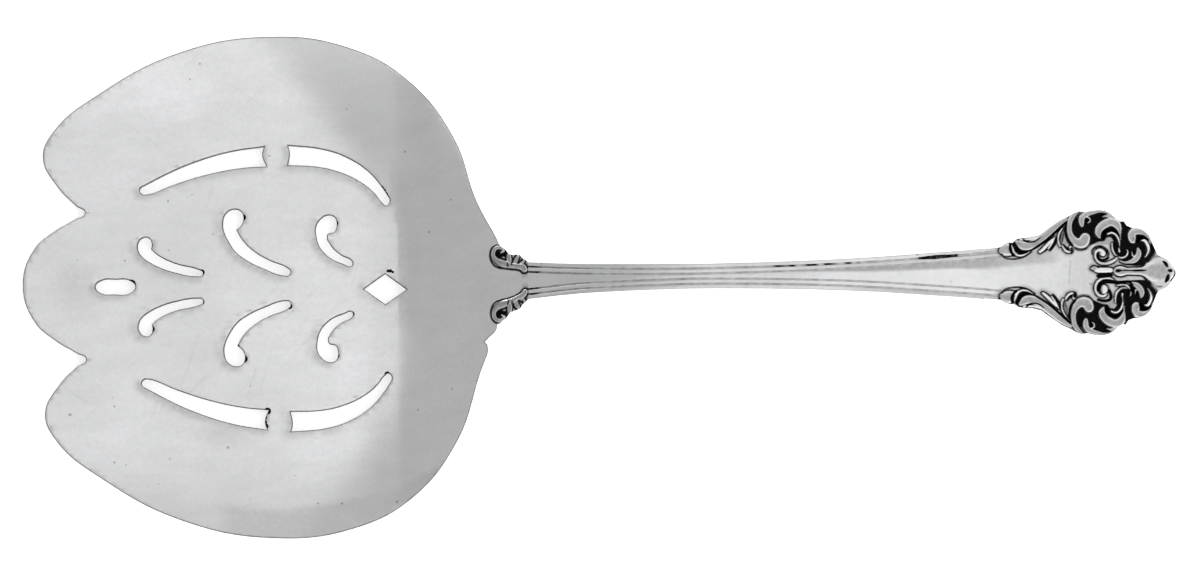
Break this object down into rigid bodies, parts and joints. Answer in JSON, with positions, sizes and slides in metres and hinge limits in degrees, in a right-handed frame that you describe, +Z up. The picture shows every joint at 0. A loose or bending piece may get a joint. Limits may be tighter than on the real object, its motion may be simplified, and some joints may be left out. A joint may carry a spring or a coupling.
{
  "type": "sardine server",
  "caption": "Wide pierced serving blade with turned-up sides and a notched front, on an arched threaded handle that ends in scroll work.",
  "frame": {"origin": "middle of the length and width, on the table it rests on", "axes": "+X from the blade's front point to the end of the handle, +Z up out of the blade's hollow face, XZ is the plane of symmetry"},
  "size_m": [0.146, 0.0636, 0.011],
  "materials": {
    "silver": "worn polished silver, darkened in the hollows of the scroll work"
  },
  "bodies": {
    "root": {"sardine_server": "silver"}
  },
  "joints": []
}
